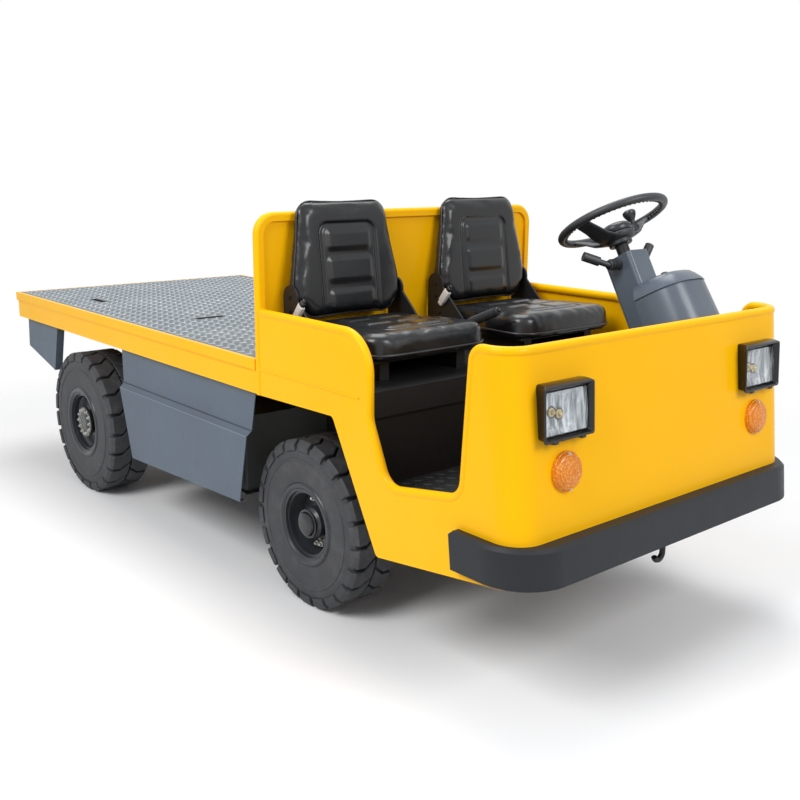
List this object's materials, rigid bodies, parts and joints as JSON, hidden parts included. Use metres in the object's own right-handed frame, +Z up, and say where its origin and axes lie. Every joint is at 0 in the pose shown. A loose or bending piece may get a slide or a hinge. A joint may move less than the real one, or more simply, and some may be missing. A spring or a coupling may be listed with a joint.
{
  "type": "electric platform truck",
  "caption": "Electric platform truck: steel load deck on pneumatic wheels behind a low open cab with side-by-side seats, steered front axle and rear drive.",
  "frame": {"origin": "middle of the overall length and width at ground level", "axes": "+X forward, +Y to the vehicle's left, +Z up"},
  "size_m": [3.278, 1.256, 1.2915],
  "materials": {
    "yellow_paint": "gloss",
    "slate_paint": "satin",
    "slate_plastic": "satin",
    "black_paint": "satin",
    "deck_steel": "satin",
    "floor_plate": "satin",
    "battery_case": "satin",
    "axle_iron": "rough",
    "motor_paint": "satin",
    "tyre_rubber": "matte",
    "seat_vinyl": "satin",
    "buckle_plastic": "gloss",
    "control_plastic": "satin",
    "clear_lens": "gloss",
    "amber_lens": "gloss",
    "red_lens": "gloss"
  },
  "bodies": {
    "chassis": {"battery_pack": "battery_case", "battery_tray": "black_paint", "bulkhead": "yellow_paint", "cab_floor": "floor_plate", "chassis_frame": "black_paint", "column_levers": "control_plastic", "column_shroud": "slate_plastic", "dash_pod": "slate_plastic", "deck_frame": "yellow_paint", "deck_plate": "deck_steel", "drive_motor": "motor_paint", "front_axle": "axle_iron", "front_bumper": "slate_paint", "front_panel": "yellow_paint", "headlamp_housings": "control_plastic", "headlamp_lenses": "clear_lens", "leaf_springs": "black_paint", "parking_brake_lever": "control_plastic", "pedals": "black_paint", "rear_axle": "axle_iron", "rear_mudguards": "slate_paint", "seat_backrest_left": "seat_vinyl", "seat_backrest_right": "seat_vinyl", "seat_box": "black_paint", "seat_buckles": "buckle_plastic", "seat_cushion_left": "seat_vinyl", "seat_cushion_right": "seat_vinyl", "seat_frame_left": "black_paint", "seat_frame_right": "black_paint", "side_panel_left": "yellow_paint", "side_panel_right": "yellow_paint", "side_skirts": "slate_paint", "steering_column": "black_paint", "tail_lamps": "red_lens", "tow_coupling": "black_paint", "tow_hook": "black_paint", "turn_lamps": "amber_lens", "wheel_well_panels": "black_paint"},
    "knuckle_left": {"knuckle_left": "axle_iron"},
    "knuckle_right": {"knuckle_right": "axle_iron"},
    "tie_rod": {"tie_rod": "axle_iron"},
    "steering_wheel": {"steering_wheel": "control_plastic"},
    "wheel_front_left": {"tyre_front_left": "tyre_rubber", "rim_front_left": "slate_paint"},
    "wheel_front_right": {"tyre_front_right": "tyre_rubber", "rim_front_right": "slate_paint"},
    "wheel_rear_left": {"tyre_rear_left": "tyre_rubber", "rim_rear_left": "slate_paint"},
    "wheel_rear_right": {"tyre_rear_right": "tyre_rubber", "rim_rear_right": "slate_paint"}
  },
  "joints": [
    {"name": "steer_left", "type": "hinge", "parent": "chassis", "child": "knuckle_left", "pos_m": [0.641, 0.35, 0.27], "axis": [0, 0, 1], "range_deg": [-32, 32]},
    {"name": "steer_right", "type": "hinge", "parent": "chassis", "child": "knuckle_right", "pos_m": [0.641, -0.35, 0.27], "axis": [0, 0, 1], "range_deg": [-32, 32]},
    {"name": "tie_rod_swing", "type": "hinge", "parent": "knuckle_left", "child": "tie_rod", "pos_m": [0.501, 0.33, 0.2], "axis": [0, 0, 1], "range_deg": [-32, 32]},
    {"name": "steering_wheel_turn", "type": "hinge", "parent": "chassis", "child": "steering_wheel", "pos_m": [1.121, 0.285, 1.2], "axis": [-0.4848, 0, 0.8746], "range_deg": [-640, 640]},
    {"name": "spin_front_left", "type": "hinge", "parent": "knuckle_left", "child": "wheel_front_left", "pos_m": [0.641, 0.469, 0.27], "axis": [0, 1, 0], "continuous": true},
    {"name": "spin_front_right", "type": "hinge", "parent": "knuckle_right", "child": "wheel_front_right", "pos_m": [0.641, -0.469, 0.27], "axis": [0, 1, 0], "continuous": true},
    {"name": "spin_rear_left", "type": "hinge", "parent": "chassis", "child": "wheel_rear_left", "pos_m": [-0.896, 0.521, 0.295], "axis": [0, 1, 0], "continuous": true},
    {"name": "spin_rear_right", "type": "hinge", "parent": "chassis", "child": "wheel_rear_right", "pos_m": [-0.896, -0.521, 0.295], "axis": [0, 1, 0], "continuous": true}
  ],
  "couplings": [
    {"joint": "steer_right", "follows": "steer_left", "ratio": 1},
    {"joint": "tie_rod_swing", "follows": "steer_left", "ratio": -1},
    {"joint": "steering_wheel_turn", "follows": "steer_left", "ratio": 20}
  ]
}
